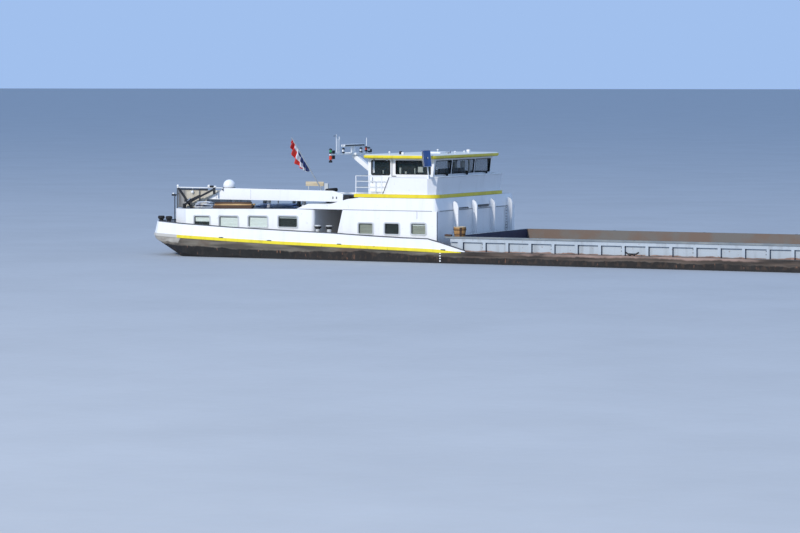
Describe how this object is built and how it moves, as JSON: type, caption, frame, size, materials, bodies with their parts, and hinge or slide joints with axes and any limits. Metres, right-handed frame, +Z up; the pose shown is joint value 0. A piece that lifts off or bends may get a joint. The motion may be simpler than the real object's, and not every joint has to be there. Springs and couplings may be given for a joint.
{
  "type": "river motor cargo barge, 1:10 scale model",
  "caption": "Long flat-bottomed river cargo barge with an open hold, stern deckhouses, a wheelhouse on a lift, twin rudders, and a bow with anchors and windlass.",
  "frame": {"origin": "middle of the overall length and beam, on the flat bottom of the hull", "axes": "+X towards the bow, +Y to port, +Z up"},
  "size_m": [11.0066, 1.1456, 0.99],
  "materials": {
    "white_paint": "glossy white ship paint, lightly stained",
    "yellow_paint": "yellow gloss paint",
    "hull_black": "black bottom paint with rust and scrapes",
    "coaming_grey": "pale blue-grey paint, scuffed",
    "black_paint": "black semi-gloss paint",
    "bare_steel": "greased steel",
    "bronze": "cast bronze",
    "dome_white": "smooth white shell",
    "window_glass": "dark tinted glass",
    "console_grey": "grey console top",
    "seat_black": "black padded seat",
    "board_blue": "blue signal board with pale rim",
    "canvas": "beige canvas",
    "flag_cloth": "woven flag cloth in red, white and blue bands",
    "tarpaulin_blue": "folded blue tarpaulin",
    "timber": "weathered boards"
  },
  "bodies": {
    "hull": {"hull_aft": "hull_black", "hull_engine_room": "hull_black", "passage_bollards_starboard": "coaming_grey", "passage_bollards_port": "coaming_grey", "hull_wing_starboard": "hull_black", "hull_wing_port": "hull_black", "hull_bottom": "hull_black", "hull_fore": "hull_black", "coaming_starboard": "coaming_grey", "coaming_port": "coaming_grey", "coaming_aft": "coaming_grey", "coaming_fore": "coaming_grey", "rubbing_strake": "yellow_paint", "aft_bulwark": "white_paint", "aft_house": "white_paint", "fore_house_walls": "white_paint", "fore_house_roof": "white_paint", "car_platform": "white_paint", "satellite_dome": "dome_white", "terrace_rail": "white_paint", "terrace_canvas": "canvas", "derrick_post": "black_paint", "flagstaff": "white_paint", "flag": "flag_cloth", "engine_block": "bare_steel", "nozzle": "hull_black", "bow_bulwark": "white_paint", "windlass": "black_paint", "anchor_starboard": "black_paint", "anchor_port": "black_paint", "plank_stack": "timber", "tarpaulin": "tarpaulin_blue", "folded_cover": "canvas", "mooring_tub": "timber"},
    "propeller": {"propeller": "bronze"},
    "rudder_starboard": {"rudder_starboard": "hull_black"},
    "rudder_port": {"rudder_port": "hull_black"},
    "wheelhouse_lift": {"bridge_deck": "yellow_paint", "lift_column": "bare_steel", "bridge_bulwark": "white_paint", "bridge_railing_starboard": "white_paint", "bridge_railing_port": "white_paint", "wheelhouse_walls": "white_paint", "wheelhouse_glazing": "window_glass", "wheelhouse_roof": "yellow_paint", "helm_console": "console_grey", "helm_chair": "seat_black", "searchlight": "white_paint"},
    "wheelhouse_door_starboard": {"wheelhouse_door_starboard": "white_paint"},
    "wheelhouse_door_port": {"wheelhouse_door_port": "white_paint"},
    "radar_mast": {"radar_mast": "white_paint"},
    "radar_scanner": {"radar_scanner": "white_paint"},
    "sign_board": {"sign_board": "board_blue"},
    "derrick_gooseneck": {"derrick_gooseneck": "black_paint"},
    "derrick_boom": {"derrick_boom": "black_paint"},
    "passage_door_starboard": {"passage_door_starboard": "white_paint"},
    "passage_door_port": {"passage_door_port": "white_paint"},
    "aft_door": {"aft_door": "white_paint"},
    "bow_hatch": {"bow_hatch": "coaming_grey"},
    "foremast": {"foremast": "white_paint"}
  },
  "joints": [
    {"name": "propeller_spin", "type": "hinge", "parent": "hull", "child": "propeller", "pos_m": [-4.96, 0, 0.105], "axis": [1, 0, 0], "continuous": true},
    {"name": "rudder_starboard_turn", "type": "hinge", "parent": "hull", "child": "rudder_starboard", "pos_m": [-5.13, -0.075, 0.23], "axis": [0, 0, 1], "range_deg": [-45, 45]},
    {"name": "rudder_port_turn", "type": "hinge", "parent": "hull", "child": "rudder_port", "pos_m": [-5.13, 0.075, 0.23], "axis": [0, 0, 1], "range_deg": [-45, 45]},
    {"name": "wheelhouse_raise", "type": "slide", "parent": "hull", "child": "wheelhouse_lift", "axis": [0, 0, 1], "range_m": [0, 0.25]},
    {"name": "wheelhouse_door_starboard_slide", "type": "slide", "parent": "wheelhouse_lift", "child": "wheelhouse_door_starboard", "axis": [1, 0, 0], "range_m": [0, 0.115]},
    {"name": "wheelhouse_door_port_slide", "type": "slide", "parent": "wheelhouse_lift", "child": "wheelhouse_door_port", "axis": [1, 0, 0], "range_m": [0, 0.115]},
    {"name": "radar_mast_fold", "type": "hinge", "parent": "wheelhouse_lift", "child": "radar_mast", "pos_m": [-4.22, 0, 0.685], "axis": [0, -1, 0], "range_deg": [0, 20]},
    {"name": "radar_scanner_spin", "type": "hinge", "parent": "radar_mast", "child": "radar_scanner", "pos_m": [-4.475, 0, 0.92], "axis": [0, 0, 1], "continuous": true},
    {"name": "sign_board_fold", "type": "hinge", "parent": "wheelhouse_lift", "child": "sign_board", "pos_m": [-3.769, -0.495, 0.776], "axis": [0, -1, 0], "range_deg": [0, 80]},
    {"name": "derrick_slew", "type": "hinge", "parent": "hull", "child": "derrick_gooseneck", "pos_m": [-5.305, -0.46, 0.594], "axis": [0, 0, 1], "range_deg": [-110, 0]},
    {"name": "derrick_luff", "type": "hinge", "parent": "derrick_gooseneck", "child": "derrick_boom", "pos_m": [-5.305, -0.46, 0.594], "axis": [0, -1, 0], "range_deg": [0, 50]},
    {"name": "passage_door_starboard_slide", "type": "slide", "parent": "hull", "child": "passage_door_starboard", "axis": [0, 1, 0], "range_m": [0, 0.07]},
    {"name": "passage_door_port_slide", "type": "slide", "parent": "hull", "child": "passage_door_port", "axis": [0, -1, 0], "range_m": [0, 0.07]},
    {"name": "aft_door_swing", "type": "hinge", "parent": "hull", "child": "aft_door", "pos_m": [-5.377, 0.047, 0.5], "axis": [0, 0, -1], "range_deg": [0, 90]},
    {"name": "bow_hatch_lift", "type": "hinge", "parent": "hull", "child": "bow_hatch", "pos_m": [4.59, 0, 0.4853], "axis": [0, -1, 0], "range_deg": [0, 80]},
    {"name": "foremast_fold", "type": "hinge", "parent": "hull", "child": "foremast", "pos_m": [4.99, 0, 0.52], "axis": [0, 1, 0], "range_deg": [0, 50]}
  ],
  "couplings": [
    {"joint": "rudder_port_turn", "follows": "rudder_starboard_turn", "ratio": 1}
  ]
}
